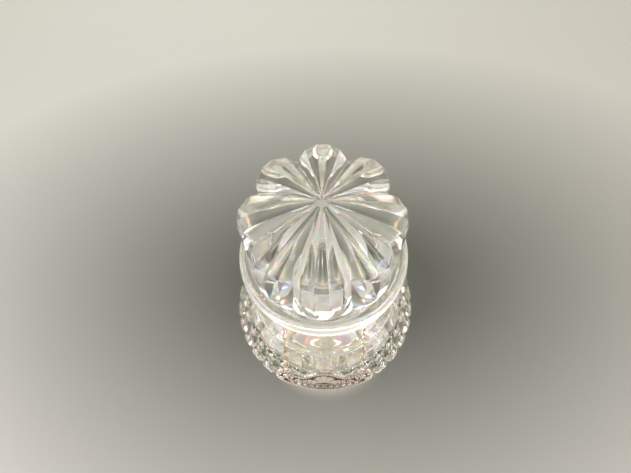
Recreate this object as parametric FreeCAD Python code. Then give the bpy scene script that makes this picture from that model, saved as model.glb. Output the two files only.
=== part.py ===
"""Stoppered cut-crystal decanter with a bottle ticket hung round its neck on a chain.

Millimetres, +Z up, origin at the centre of the foot. The ticket hangs on the -Y side.
Each solid is written to parts/NODE.step.
"""

import FreeCAD, Part
import math
import os

from FreeCAD import Rotation, Vector

# ---- driving dimensions -------------------------------------------------------------------

# Bottle, heights from the foot and outside radii.
FOOT_RADIUS = 34.0
FOOT_CHAMFER_HEIGHT = 4.0
LOWER_BODY_RADIUS = 36.6
WAIST_HEIGHT = 58.0
WAIST_RADIUS = 42.4
SIDE_ROW_HEIGHT = 81.0
GIRTH_HEIGHT = 104.0
GIRTH_RADIUS = 48.4
UPPER_ROW_HEIGHT = 117.0
SHOULDER_RING_HEIGHT = 130.0
SHOULDER_RING_RADIUS = 36.0
SHOULDER_LEDGE_RADIUS = 35.4
NECK_RADIUS = 17.5
NECK_BOTTOM_HEIGHT = 150.5
NECK_TOP_HEIGHT = 159.0
LIP_RADIUS = 35.3
LIP_EDGE_HEIGHT = 175.0
LIP_TOP_RADIUS = 31.0
LIP_TOP_HEIGHT = 181.0

# Cutting of the bottle: blocks with V grooves between them.
COLUMNS = 32
BLOCK_GROOVE = 1.9
BLOCK_BEVEL = 2.0
PANEL_BEVEL = 3.6
BASE_STAR_POINTS = 16
BASE_STAR_INNER = 4.0
BASE_STAR_OUTER = 28.0
BASE_STAR_DEPTH = 1.6
BASE_STAR_HALF_WIDTH = 2.6

# Hollow inside.
FLOOR_HEIGHT = 13.0
NECK_BORE_RADIUS = 11.0
SOCKET_BOTTOM_HEIGHT = 150.0
SOCKET_TOP_RADIUS = 13.2

# Stopper.
LOBES = 8
STOPPER_TOP = 220.5
HEAD_CLEARANCE = 0.3
PLUG_CLEARANCE = 0.1
PLUG_END_HEIGHT = 152.0
PLUG_END_CHAMFER = 0.8
LOBE_ARC_CENTRE = 0.667
LOBE_ARC_RADIUS = 0.333
LOBE_FLATS = 5
LOBE_ARC_HALF_ANGLE = 72.0

# Chain: stadium-shaped links of round wire, an odd number of them in all.
WIRE_RADIUS = 0.3
LINK_END_RADIUS = 0.8
LINK_PLAY = 0.1
CHAIN_LOOP_RADIUS = 19.2
CHAIN_LOOP_HEIGHT = 149.6
LOOP_LINKS = 25
LEG_LINKS = 20
TWIST_LINKS = 6
FULL_TWIST = 45.0

# Jump rings and ticket.
RING_RADIUS = 1.8
RING_SPACING = 36.4
TICKET_HALF_WIDTH = 24.5
TICKET_THICKNESS = 1.0
TICKET_LEAN = 25.5
TICKET_BEND_RADIUS = 72.0
TICKET_RIM_WIDTH = 1.2
TICKET_RIM_RISE = 0.4
TICKET_BEADS = 11
BEAD_PITCH = 3.2
BEAD_HALF_LENGTH = 1.1
BEAD_HALF_HEIGHT = 0.8
BEAD_RISE = 0.3
LUG_RADIUS = 1.8
LUG_HOLE_RADIUS = 1.0
LUG_PLAY = 0.2

OUT_FOLDER = "parts"
Z_AXIS = Vector(0, 0, 1)
X_AXIS = Vector(1, 0, 0)


# ---- helpers ------------------------------------------------------------------------------


def save(name, shape):
    """Writes one node as a STEP file, after a check of its solids."""
    for solid in shape.Solids:
        if not (solid.isValid() and solid.isClosed() and solid.Volume > 0):
            raise ValueError(name + " holds a solid that is not closed and valid")
    shape.exportStep(os.path.join(OUT_FOLDER, name + ".step"))
    print(f"{name}: {len(shape.Solids)} solid(s), {shape.Volume:.1f} mm3")


def polar(radius, degrees, z):
    """A point at a radius, an angle from the -Y side towards +X, and a height."""
    angle = math.radians(degrees)
    return Vector(radius * math.sin(angle), -radius * math.cos(angle), z)


def flat_face(points):
    """A planar face through the points."""
    return Part.Face(Part.makePolygon(list(points) + [points[0]]))


def two_triangles(a, b, c, d):
    """The quadrilateral a b c d as two triangles, for four points off one plane."""
    return [flat_face([a, b, c]), flat_face([a, c, d])]


def closed_solid(faces):
    """A solid from faces that close a volume."""
    shell = Part.makeShell(faces)
    shell.sewShape()
    solid = Part.makeSolid(shell)
    if solid.Volume < 0:
        solid.reverse()
    return solid


def spline(points):
    """A smooth edge through (radius, height) pairs."""
    curve = Part.BSplineCurve()
    curve.interpolate(Points=[Vector(r, 0, z) for r, z in points])
    return curve.toShape()


def line(a, b):
    """A straight edge between two (radius, height) pairs."""
    return Part.makeLine(Vector(a[0], 0, a[1]), Vector(b[0], 0, b[1]))


def turned(edges):
    """The solid that a closed chain of profile edges sweeps round the Z axis."""
    return Part.Face(Part.Wire(edges)).revolve(Vector(0, 0, 0), Z_AXIS, 360)


# ---- bottle -------------------------------------------------------------------------------


def body_radius(z):
    """Outside radius of the block faces at a height."""
    stations = [
        (0.0, FOOT_RADIUS),
        (FOOT_CHAMFER_HEIGHT, LOWER_BODY_RADIUS),
        (WAIST_HEIGHT, WAIST_RADIUS),
        (GIRTH_HEIGHT, GIRTH_RADIUS),
        (SHOULDER_RING_HEIGHT, SHOULDER_RING_RADIUS),
    ]
    for (z0, r0), (z1, r1) in zip(stations, stations[1:]):
        if z <= z1:
            return r0 + (r1 - r0) * (z - z0) / (z1 - z0)
    return SHOULDER_RING_RADIUS


def row_slope(low, high):
    """Unit direction up a row of blocks, and the outward normal of its faces, as (radial, up)."""
    run = body_radius(high) - body_radius(low)
    rise = high - low
    length = math.hypot(run, rise)
    return (run / length, rise / length), (rise / length, -run / length)


def groove_point(z, depth, normal, degrees):
    """A point at the bottom of the groove that crosses the wall at height z."""
    return polar(body_radius(z) - depth * normal[0], degrees, z - depth * normal[1])


def ring_normal(low, level, high):
    """The mean outward normal of the rows below and above a ring groove."""
    below = row_slope(low, level)[1] if low is not None else row_slope(level, high)[1]
    above = row_slope(level, high)[1] if high is not None else below
    total = (below[0] + above[0], below[1] + above[1])
    length = math.hypot(*total)
    return total[0] / length, total[1] / length


def block_faces(low_groove, high_groove, low, high, start, width, bevel):
    """The flat top and four bevels of one block; the groove lists run across the block."""
    along, _ = row_slope(low, high)
    half = width / 2
    middle = start + half

    def corner(z_from, step, side):
        z = z_from + step * bevel * along[1]
        radius = body_radius(z_from) + step * bevel * along[0]
        inset = math.degrees(bevel / radius)
        flat_radius = radius * math.cos(math.radians(half)) / math.cos(math.radians(half - inset))
        return polar(flat_radius, middle + side * (half - inset), z)

    low_left, low_right = corner(low, 1, -1), corner(low, 1, 1)
    high_left, high_right = corner(high, -1, -1), corner(high, -1, 1)
    faces = [flat_face([low_left, low_right, high_right, high_left])]
    faces += two_triangles(low_groove[0], low_left, high_left, high_groove[0])
    faces += two_triangles(low_right, low_groove[-1], high_groove[-1], high_right)
    if len(low_groove) == 2:
        faces.append(flat_face([low_groove[0], low_groove[1], low_right, low_left]))
        faces.append(flat_face([high_left, high_right, high_groove[1], high_groove[0]]))
    else:
        faces.append(flat_face([low_groove[0], low_groove[1], low_left]))
        faces += two_triangles(low_left, low_groove[1], low_groove[2], low_right)
        faces.append(flat_face([high_groove[0], high_left, high_groove[1]]))
        faces += two_triangles(high_left, high_right, high_groove[2], high_groove[1])
    return faces


def cut_body():
    """The faceted body from the foot to the shoulder ring, solid all through."""
    levels = [
        FOOT_CHAMFER_HEIGHT,
        WAIST_HEIGHT,
        SIDE_ROW_HEIGHT,
        GIRTH_HEIGHT,
        UPPER_ROW_HEIGHT,
        SHOULDER_RING_HEIGHT,
    ]
    wide_rows = (0, 4)
    pitch = 360.0 / COLUMNS
    rings = []
    for k, z in enumerate(levels):
        low = levels[k - 1] if k else None
        high = levels[k + 1] if k + 1 < len(levels) else None
        normal = ring_normal(low, z, high)
        rings.append([groove_point(z, BLOCK_GROOVE, normal, (i - 1) * pitch) for i in range(COLUMNS)])
    faces = []
    for row, (low, high) in enumerate(zip(levels, levels[1:])):
        step = 2 if row in wide_rows else 1
        bevel = PANEL_BEVEL if step == 2 else BLOCK_BEVEL
        for i in range(0, COLUMNS, step):
            across = [(i + n) % COLUMNS for n in range(step + 1)]
            faces += block_faces(
                [rings[row][n] for n in across],
                [rings[row + 1][n] for n in across],
                low,
                high,
                (i - 1) * pitch,
                step * pitch,
                bevel,
            )
    foot = [polar(FOOT_RADIUS - BLOCK_GROOVE, (i - 1) * pitch, 0) for i in range(COLUMNS)]
    for i in range(COLUMNS):
        n = (i + 1) % COLUMNS
        faces.append(flat_face([foot[i], foot[n], rings[0][n], rings[0][i]]))
    faces.append(flat_face(foot))
    faces.append(flat_face(rings[-1]))
    return closed_solid(faces)


def shoulder_neck_and_lip():
    """The smooth upper part, turned, with a spigot that reaches into the cut body."""
    spigot_radius, spigot_bottom = 28.0, SHOULDER_RING_HEIGHT - 10.0
    ledge = SHOULDER_RING_HEIGHT - 1.6
    shoulder = spline(
        [
            (SHOULDER_LEDGE_RADIUS, SHOULDER_RING_HEIGHT - 0.4),
            (32.2, 134.4),
            (27.0, 139.8),
            (21.6, 144.6),
            (18.6, 147.6),
            (NECK_RADIUS, NECK_BOTTOM_HEIGHT),
        ]
    )
    flare = spline(
        [
            (NECK_RADIUS, NECK_TOP_HEIGHT),
            (17.8, 161.6),
            (19.4, 165.0),
            (22.6, 167.8),
            (27.0, 169.8),
            (31.4, 171.0),
            (LIP_RADIUS - 0.9, 172.6),
        ]
    )
    rim = spline(
        [
            (LIP_RADIUS - 0.9, 172.6),
            (LIP_RADIUS, LIP_EDGE_HEIGHT),
            (LIP_RADIUS - 0.7, LIP_EDGE_HEIGHT + 2.8),
            (LIP_RADIUS - 2.2, LIP_EDGE_HEIGHT + 5.0),
            (LIP_TOP_RADIUS, LIP_TOP_HEIGHT),
        ]
    )
    return turned(
        [
            line((0, spigot_bottom), (spigot_radius, spigot_bottom)),
            line((spigot_radius, spigot_bottom), (spigot_radius, ledge)),
            line((spigot_radius, ledge), (SHOULDER_LEDGE_RADIUS, ledge)),
            line((SHOULDER_LEDGE_RADIUS, ledge), (SHOULDER_LEDGE_RADIUS, SHOULDER_RING_HEIGHT - 0.4)),
            shoulder,
            line((NECK_RADIUS, NECK_BOTTOM_HEIGHT), (NECK_RADIUS, NECK_TOP_HEIGHT)),
            flare,
            rim,
            line((LIP_TOP_RADIUS, LIP_TOP_HEIGHT), (0, LIP_TOP_HEIGHT)),
            line((0, LIP_TOP_HEIGHT), (0, spigot_bottom)),
        ]
    )


def hollow():
    """The space inside the bottle, with the ground socket for the plug at its top."""
    wall = spline(
        [
            (0, FLOOR_HEIGHT),
            (10.0, FLOOR_HEIGHT + 0.1),
            (20.0, FLOOR_HEIGHT + 1.2),
            (27.5, FLOOR_HEIGHT + 4.6),
            (31.4, 25.0),
            (33.2, 38.0),
            (36.2, 62.0),
            (39.4, 90.0),
            (40.2, 104.0),
            (37.4, 114.5),
            (31.6, 123.6),
            (24.4, 131.6),
            (17.4, 138.4),
            (13.2, 142.6),
            (11.3, 145.4),
            (NECK_BORE_RADIUS, 148.0),
        ]
    )
    return turned(
        [
            wall,
            line((NECK_BORE_RADIUS, 148.0), (NECK_BORE_RADIUS, SOCKET_BOTTOM_HEIGHT)),
            line((NECK_BORE_RADIUS, SOCKET_BOTTOM_HEIGHT), (SOCKET_TOP_RADIUS, LIP_TOP_HEIGHT)),
            line((SOCKET_TOP_RADIUS, LIP_TOP_HEIGHT), (SOCKET_TOP_RADIUS, LIP_TOP_HEIGHT + 1)),
            line((SOCKET_TOP_RADIUS, LIP_TOP_HEIGHT + 1), (0, LIP_TOP_HEIGHT + 1)),
            line((0, LIP_TOP_HEIGHT + 1), (0, FLOOR_HEIGHT)),
        ]
    )


def base_star():
    """The V cuts under the foot, one tapered wedge for each point of the star."""
    tip = Vector(BASE_STAR_INNER, 0, -0.01)
    left = Vector(BASE_STAR_OUTER, BASE_STAR_HALF_WIDTH, -0.01)
    right = Vector(BASE_STAR_OUTER, -BASE_STAR_HALF_WIDTH, -0.01)
    crest = Vector(BASE_STAR_OUTER - 3, 0, BASE_STAR_DEPTH)
    wedge = closed_solid(
        [
            flat_face([tip, left, right]),
            flat_face([tip, right, crest]),
            flat_face([tip, crest, left]),
            flat_face([left, crest, right]),
        ]
    )
    cuts = []
    for k in range(BASE_STAR_POINTS):
        cut = wedge.copy()
        cut.rotate(Vector(0, 0, 0), Z_AXIS, (k + 0.5) * 360.0 / BASE_STAR_POINTS)
        cuts.append(cut)
    return cuts


def bottle():
    """The hollow bottle, one piece of glass."""
    whole = cut_body().fuse(shoulder_neck_and_lip())
    return whole.cut([hollow()] + base_star()).Solids[0]


# ---- stopper ------------------------------------------------------------------------------


def lobe_outline():
    """(degrees from the lobe's middle, share of the groove's depth) at the corners of its flats."""
    corners = []
    for k in range(LOBE_FLATS + 1):
        swing = math.radians(LOBE_ARC_HALF_ANGLE * (2 * k / LOBE_FLATS - 1))
        x = LOBE_ARC_CENTRE + LOBE_ARC_RADIUS * math.cos(swing)
        y = LOBE_ARC_RADIUS * math.sin(swing)
        corners.append((math.degrees(math.atan2(y, x)), 1 - math.hypot(x, y)))
    deepest = corners[0][1]
    half_pitch = 180.0 / LOBES
    widest = corners[-1][0]
    return [(degrees * half_pitch / widest, depth / deepest) for degrees, depth in corners]


def stopper_head():
    """The lobed head: rings of corners from the hub down to the lip."""
    # Ridge radius, ridge height, groove depth, and the groove's direction as degrees above level.
    bottom = LIP_TOP_HEIGHT + HEAD_CLEARANCE
    stations = [
        (2.4, STOPPER_TOP, 0.0, 90),
        (4.2, STOPPER_TOP - 0.2, 1.1, 88),
        (8.0, STOPPER_TOP - 0.7, 2.2, 86),
        (13.0, STOPPER_TOP - 1.6, 3.2, 82),
        (18.0, STOPPER_TOP - 2.8, 4.0, 77),
        (23.0, STOPPER_TOP - 4.4, 4.6, 68),
        (27.2, STOPPER_TOP - 6.8, 5.0, 52),
        (29.9, STOPPER_TOP - 9.8, 5.1, 32),
        (31.0, STOPPER_TOP - 13.6, 5.1, 10),
        (31.3, STOPPER_TOP - 19.5, 4.7, 0),
        (31.4, STOPPER_TOP - 26.5, 3.8, 0),
        (31.4, STOPPER_TOP - 32.5, 2.8, 0),
        (31.2, bottom + 3.4, 1.9, 0),
        (30.9, bottom + 1.6, 1.5, 0),
        (30.0, bottom, 1.2, 0),
    ]
    outline = lobe_outline()[:-1]
    rings = []
    for radius, height, depth, rise in stations:
        inward, down = math.cos(math.radians(rise)), math.sin(math.radians(rise))
        ring = []
        for lobe in range(LOBES):
            for degrees, share in outline:
                angle = lobe * 360.0 / LOBES + degrees
                ring.append(polar(radius - depth * share * inward, angle, height - depth * share * down))
        rings.append(ring)
    faces = [flat_face(rings[0]), flat_face(rings[-1])]
    for upper, lower in zip(rings, rings[1:]):
        for i in range(len(upper)):
            n = (i + 1) % len(upper)
            faces += two_triangles(upper[i], lower[i], lower[n], upper[n])
    return closed_solid(faces)


def socket_radius(z):
    """Radius of the ground socket at a height."""
    share = (z - SOCKET_BOTTOM_HEIGHT) / (LIP_TOP_HEIGHT - SOCKET_BOTTOM_HEIGHT)
    return NECK_BORE_RADIUS + share * (SOCKET_TOP_RADIUS - NECK_BORE_RADIUS)


def stopper():
    """The lobed head on its ground plug, one piece of glass."""
    top = LIP_TOP_HEIGHT + HEAD_CLEARANCE + 5.0
    end_radius = socket_radius(PLUG_END_HEIGHT) - PLUG_CLEARANCE
    shank_radius = socket_radius(LIP_TOP_HEIGHT) - PLUG_CLEARANCE
    plug = turned(
        [
            line((0, PLUG_END_HEIGHT), (end_radius - PLUG_END_CHAMFER, PLUG_END_HEIGHT)),
            line(
                (end_radius - PLUG_END_CHAMFER, PLUG_END_HEIGHT),
                (end_radius, PLUG_END_HEIGHT + PLUG_END_CHAMFER),
            ),
            line((end_radius, PLUG_END_HEIGHT + PLUG_END_CHAMFER), (shank_radius, LIP_TOP_HEIGHT)),
            line((shank_radius, LIP_TOP_HEIGHT), (shank_radius, top)),
            line((shank_radius, top), (0, top)),
            line((0, top), (0, PLUG_END_HEIGHT)),
        ]
    )
    return stopper_head().fuse(plug).Solids[0]


# ---- chain --------------------------------------------------------------------------------


def link(centre, along, across, pitch):
    """One stadium-shaped link whose flat lies in the plane of its two directions."""
    straight = (pitch + 2 * WIRE_RADIUS + LINK_PLAY) / 2 - LINK_END_RADIUS
    ends = []
    for side in (1, -1):
        middle = Vector(side * straight, 0, 0)
        ends.append(
            Part.Arc(
                middle + Vector(0, -side * LINK_END_RADIUS, 0),
                middle + Vector(side * LINK_END_RADIUS, 0, 0),
                middle + Vector(0, side * LINK_END_RADIUS, 0),
            ).toShape()
        )
    right, left = ends
    path = Part.Wire(
        [
            right,
            Part.makeLine(Vector(straight, LINK_END_RADIUS, 0), Vector(-straight, LINK_END_RADIUS, 0)),
            left,
            Part.makeLine(Vector(-straight, -LINK_END_RADIUS, 0), Vector(straight, -LINK_END_RADIUS, 0)),
        ]
    )
    profile = Part.Wire(Part.makeCircle(WIRE_RADIUS, Vector(straight, -LINK_END_RADIUS, 0), X_AXIS))
    shape = path.makePipeShell([profile], True, True)
    x = Vector(along).normalize()
    z = x.cross(across).normalize()
    shape.Placement = FreeCAD.Placement(centre, Rotation(x, z.cross(x), z, "XYZ"))
    return shape


def leg_route():
    """Where the right-hand leg runs: off the loop, down the shoulder, to its jump ring."""
    return [
        Vector(CHAIN_LOOP_RADIUS, 0.0, CHAIN_LOOP_HEIGHT),
        Vector(CHAIN_LOOP_RADIUS, -7.0, 148.0),
        Vector(19.1, -14.0, 144.6),
        Vector(19.0, -21.5, 140.0),
        Vector(18.8, -28.5, 134.8),
        Vector(18.5, -34.4, 128.8),
        Vector(RING_SPACING / 2, -38.5, 122.0),
    ]


def chain_curve():
    """The line that the chain follows, from the left-hand ring round the neck to the right."""
    right = leg_route()
    left = [Vector(-p.x, p.y, p.z) for p in reversed(right)]
    back = [
        Vector(
            -CHAIN_LOOP_RADIUS * math.cos(math.pi * k / 8),
            CHAIN_LOOP_RADIUS * math.sin(math.pi * k / 8),
            CHAIN_LOOP_HEIGHT,
        )
        for k in range(1, 8)
    ]
    curve = Part.BSplineCurve()
    curve.interpolate(Points=left + back + right)
    return curve.toShape()


def link_roll(index, count):
    """Turn of a link about the chain: a quarter turn from its neighbour, eased flat at each ring."""
    from_end = min(index, count - 1 - index)
    share = min(1.0, from_end / TWIST_LINKS)
    eased = share * share * (3 - 2 * share)
    return 90.0 * (1 + from_end % 2) + FULL_TWIST * eased


def link_outward(centre, along):
    """Away from the glass: radial round the neck, straight to the front down the legs."""
    share = max(0.0, min(1.0, -centre.y / CHAIN_LOOP_RADIUS))
    radial = Vector(centre.x, centre.y, 0).normalize()
    outward = radial * (1 - share) + Vector(0, -1, 0) * share + Z_AXIS * 0.8
    return (outward - along * outward.dot(along)).normalize()


def chain():
    """The links from the left-hand ring round the neck to the right, and the points between them."""
    curve = chain_curve()
    count = LOOP_LINKS + 2 * LEG_LINKS
    pitch = curve.Length / count
    marks = curve.discretize(Number=2 * count + 1)
    links = []
    for index in range(count):
        centre = marks[2 * index + 1]
        along = (marks[2 * index + 2] - marks[2 * index]).normalize()
        roll = Rotation(along, link_roll(index, count))
        links.append(link(centre, along, roll.multVec(link_outward(centre, along)), pitch))
    hinge = marks[2 * (count - LEG_LINKS)]
    print(f"chain {curve.Length:.1f} mm, pitch {pitch:.3f} mm, legs leave the loop at {hinge}")
    return links


# ---- jump rings and ticket ----------------------------------------------------------------


def ticket_down():
    """The direction down the ticket's face, which is the slope of the glass behind it."""
    lean = math.radians(TICKET_LEAN)
    return Vector(0, -math.sin(lean), -math.cos(lean))


def ring_centre(side):
    """Centre of a jump ring, whose wire threads the last link of its leg."""
    last = leg_route()[-1]
    drop = RING_RADIUS - WIRE_RADIUS - LINK_PLAY / 2
    return Vector(side * last.x, last.y, last.z) + ticket_down() * drop


def jump_ring(side):
    """One round ring, standing edge-on to the glass."""
    return Part.makeTorus(RING_RADIUS, WIRE_RADIUS, ring_centre(side), X_AXIS)


def ticket_outline(inset):
    """The ticket's face, upright, with its lug holes at height 0; inset narrows it all round."""
    half = [
        (0.0, 1.9),
        (3.6, 1.3),
        (7.4, -0.9),
        (11.6, -2.8),
        (15.6, -1.7),
        (19.6, -0.4),
        (23.2, -1.7),
        (TICKET_HALF_WIDTH, -5.2),
        (22.6, -8.8),
        (17.0, -11.0),
        (9.0, -12.7),
        (0.0, -13.3),
    ]
    points = [Vector(x, 0, z) for x, z in half] + [Vector(-x, 0, z) for x, z in half[-2:0:-1]]
    outline = Part.BSplineCurve()
    outline.interpolate(Points=points, PeriodicFlag=True)
    if inset:
        edge = outline.toShape()
        tangents = [edge.tangentAt(outline.parameter(p)) for p in points]
        outline.interpolate(
            Points=[p + Vector(t.z, 0, -t.x) * inset for p, t in zip(points, tangents)], PeriodicFlag=True
        )
    return Part.Face(Part.Wire(outline.toShape()))


def bent(face, back, front):
    """A plate of the face's outline, bent about an upright axis, from its back to its front."""
    prism = face.extrude(Vector(0, -12, 0))
    prism.translate(Vector(0, 8, 0))
    middle = Vector(0, TICKET_BEND_RADIUS, -40)
    outer = Part.makeCylinder(TICKET_BEND_RADIUS + front, 80, middle)
    inner = Part.makeCylinder(TICKET_BEND_RADIUS + back, 80, middle)
    return prism.common(outer.cut(inner))


def bead_row():
    """Raised lozenges along the lower part of the face."""
    faces = []
    for k in range(TICKET_BEADS):
        x = BEAD_PITCH * (k - (TICKET_BEADS - 1) / 2)
        z = -9.2 + 0.0042 * x * x
        corners = [(BEAD_HALF_LENGTH, 0), (0, BEAD_HALF_HEIGHT), (-BEAD_HALF_LENGTH, 0), (0, -BEAD_HALF_HEIGHT)]
        faces.append(flat_face([Vector(x + dx, 0, z + dz) for dx, dz in corners]))
    return [bent(face, 0, TICKET_THICKNESS / 2 + BEAD_RISE) for face in faces]


def crest():
    """A raised fan of petals at the top of the face."""
    petals = []
    for k in range(-2, 3):
        petal = Part.Face(Part.Wire(Part.Ellipse(Vector(0, 0, 0), 2.5, 0.75).toShape()))
        petal.rotate(Vector(0, 0, 0), X_AXIS, 90)
        petal.translate(Vector(3.1, 0, 0))
        petal.rotate(Vector(0, 0, 0), Vector(0, 1, 0), -90 + 38 * k)
        petal.translate(Vector(0, 0, -4.6))
        petals.append(petal)
    return [bent(petal, 0, TICKET_THICKNESS / 2 + BEAD_RISE) for petal in petals]


def ticket():
    """The silver plate with its rim, ornament and two lugs, hung in place."""
    half = TICKET_THICKNESS / 2
    slab = bent(ticket_outline(0), -half, half + TICKET_RIM_RISE)
    plate = slab.cut(bent(ticket_outline(TICKET_RIM_WIDTH), half, half + 2 * TICKET_RIM_RISE))
    lugs = []
    holes = []
    for side in (1, -1):
        middle = Vector(side * RING_SPACING / 2, 0, 0)
        lugs.append(bent(Part.Face(Part.Wire(Part.makeCircle(LUG_RADIUS, middle, Vector(0, 1, 0)))), -half, half))
        holes.append(Part.makeCylinder(LUG_HOLE_RADIUS, 16, middle - Vector(0, 8, 0), Vector(0, 1, 0)))
    whole = plate.fuse(lugs + bead_row() + crest()).cut(holes).Solids[0]
    sag = TICKET_BEND_RADIUS - math.sqrt(TICKET_BEND_RADIUS**2 - (RING_SPACING / 2) ** 2)
    whole.translate(Vector(0, -sag, 0))
    whole.rotate(Vector(0, 0, 0), X_AXIS, -TICKET_LEAN)
    hole_drop = RING_RADIUS + LUG_HOLE_RADIUS - WIRE_RADIUS - LUG_PLAY
    centre = ring_centre(1)
    whole.translate(Vector(0, centre.y, centre.z) + ticket_down() * hole_drop)
    return whole


# ---- all the nodes ------------------------------------------------------------------------


def main():
    """Builds every node and writes it."""
    os.makedirs(OUT_FOLDER, exist_ok=True)
    save("bottle", bottle())
    save("stopper", stopper())
    links = chain()
    save("chain_loop", Part.makeCompound(links[LEG_LINKS:-LEG_LINKS]))
    for k in range(LEG_LINKS):
        save(f"chain_left_{k + 1:02d}", links[k])
        save(f"chain_right_{k + 1:02d}", links[-1 - k])
    save("ring_left", jump_ring(-1))
    save("ring_right", jump_ring(1))
    save("ticket", ticket())
    print(f"ring centres at {ring_centre(1)}")


main()
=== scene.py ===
"""A cut-crystal spirit decanter with its stopper and a silver bottle ticket on a chain.

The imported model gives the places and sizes. Each sub-assembly below cuts, casts or links its
own meshes in metres, in the model's frame: +Z up, the ticket hanging on the -Y side.
"""

import logging
import math
from dataclasses import dataclass, field
from enum import Enum

import bmesh
import bpy
import numpy as np
from mathutils import Matrix, Quaternion, Vector


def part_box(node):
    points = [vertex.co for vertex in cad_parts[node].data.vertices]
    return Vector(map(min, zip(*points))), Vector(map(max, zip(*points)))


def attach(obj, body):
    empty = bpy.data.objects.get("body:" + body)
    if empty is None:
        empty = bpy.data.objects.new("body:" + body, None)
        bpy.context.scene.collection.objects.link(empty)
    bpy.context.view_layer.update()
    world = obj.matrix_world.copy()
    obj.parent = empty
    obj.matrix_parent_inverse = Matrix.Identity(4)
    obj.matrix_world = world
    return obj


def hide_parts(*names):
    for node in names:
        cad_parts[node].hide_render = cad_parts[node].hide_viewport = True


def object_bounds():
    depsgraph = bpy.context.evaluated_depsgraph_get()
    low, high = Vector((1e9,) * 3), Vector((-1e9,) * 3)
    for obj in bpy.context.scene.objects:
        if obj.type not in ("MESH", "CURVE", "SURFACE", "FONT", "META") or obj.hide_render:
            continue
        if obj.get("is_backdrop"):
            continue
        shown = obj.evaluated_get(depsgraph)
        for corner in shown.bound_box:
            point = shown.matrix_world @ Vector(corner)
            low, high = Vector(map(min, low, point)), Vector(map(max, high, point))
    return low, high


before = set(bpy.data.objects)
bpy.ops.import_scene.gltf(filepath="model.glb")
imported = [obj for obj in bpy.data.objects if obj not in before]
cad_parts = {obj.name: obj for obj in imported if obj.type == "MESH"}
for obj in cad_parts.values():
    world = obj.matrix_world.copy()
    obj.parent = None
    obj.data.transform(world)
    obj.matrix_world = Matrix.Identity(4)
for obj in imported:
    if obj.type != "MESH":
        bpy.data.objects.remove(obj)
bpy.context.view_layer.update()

log = logging.getLogger("decanter")
MM = 0.001
WELD_REACH = 0.004 * MM
GROUND_MARK = "ground"
TURN_MARK = "turn"
RELIEF_MARK = "relief"
Profile = list[tuple[float, float]]
Rgb = tuple[float, float, float]
Place = tuple[float, float, float]


class Body(Enum):
    """The rigid bodies of the model that pieces ride on."""

    BOTTLE = "bottle"
    STOPPER = "stopper"
    NECK_CHAIN = "neck_chain"
    CHAIN_LEGS = "chain_legs"
    TICKET = "ticket"


class Slot(Enum):
    """The record's material slots."""

    CRYSTAL = "crystal"
    CHAIN_SILVER = "chain_silver"
    TICKET_SILVER = "ticket_silver"


# ---- shader and mesh helpers ----------------------------------------------------------------


class Bench:
    """A node tree with short calls for adding and joining nodes."""

    def __init__(self, tree: bpy.types.NodeTree) -> None:
        """Takes the tree to fill.

        Args:
            tree: the node tree.
        """
        self.tree = tree

    def node(self, kind: str, values: dict | None = None, **settings: object) -> bpy.types.Node:
        """Adds a node.

        Args:
            kind: the node's type name.
            values: input name or index to a plain value or to the output socket that feeds it.
            settings: attributes of the node itself.

        Returns:
            The new node.
        """
        made = self.tree.nodes.new(kind)
        for name, value in settings.items():
            setattr(made, name, value)
        for key, value in (values or {}).items():
            if isinstance(value, bpy.types.NodeSocket):
                self.tree.links.new(value, made.inputs[key])
            else:
                made.inputs[key].default_value = value
        return made

    def ramp(self, fac: bpy.types.NodeSocket, stops: list[tuple[float, Rgb]]) -> bpy.types.NodeSocket:
        """Adds a colour ramp.

        Args:
            fac: what drives the ramp.
            stops: (place, colour) pairs in order.

        Returns:
            The ramp's colour output.
        """
        made = self.node("ShaderNodeValToRGB", {"Fac": fac})
        for spare in list(made.color_ramp.elements)[1:]:
            made.color_ramp.elements.remove(spare)
        first, *rest = stops
        made.color_ramp.elements[0].position = first[0]
        made.color_ramp.elements[0].color = (*first[1], 1)
        for place, colour in rest:
            made.color_ramp.elements.new(place).color = (*colour, 1)
        return made.outputs["Color"]


def new_material(name: str) -> tuple[bpy.types.Material, Bench, bpy.types.Node]:
    """Makes an empty node material.

    Args:
        name: the material's name.

    Returns:
        The material, a bench on its tree, and its output node.
    """
    material = bpy.data.materials.new(name)
    material.use_nodes = True
    material.node_tree.nodes.clear()
    bench = Bench(material.node_tree)
    return material, bench, bench.node("ShaderNodeOutputMaterial")


def polar(radius: float, degrees: float, height: float) -> Vector:
    """A point in metres from millimetres and an angle that starts at -Y and turns towards +X.

    Args:
        radius: distance from the axis, mm.
        degrees: the angle.
        height: height above the foot, mm.

    Returns:
        The point.
    """
    angle = math.radians(degrees)
    return Vector((radius * math.sin(angle), -radius * math.cos(angle), height)) * MM


def smooth_rows(rows: list[tuple[float, ...]], steps: int) -> list[tuple[float, ...]]:
    """Runs a Catmull-Rom curve through rows of numbers.

    Args:
        rows: the rows that the curve passes through.
        steps: new rows in each gap.

    Returns:
        The finer list of rows, ends included.
    """
    points = [Vector(r) for r in rows]
    ends = [points[0] * 2 - points[1]] + points + [points[-1] * 2 - points[-2]]
    fine = []
    for a, b, c, d in zip(ends, ends[1:], ends[2:], ends[3:]):
        for k in range(steps):
            t = k / steps
            square, cube = 2 * a - 5 * b + 4 * c - d, 3 * b - a - 3 * c + d
            fine.append(0.5 * (2 * b + (c - a) * t + square * t * t + cube * t**3))
    return [tuple(p) for p in fine + [points[-1]]]


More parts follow.
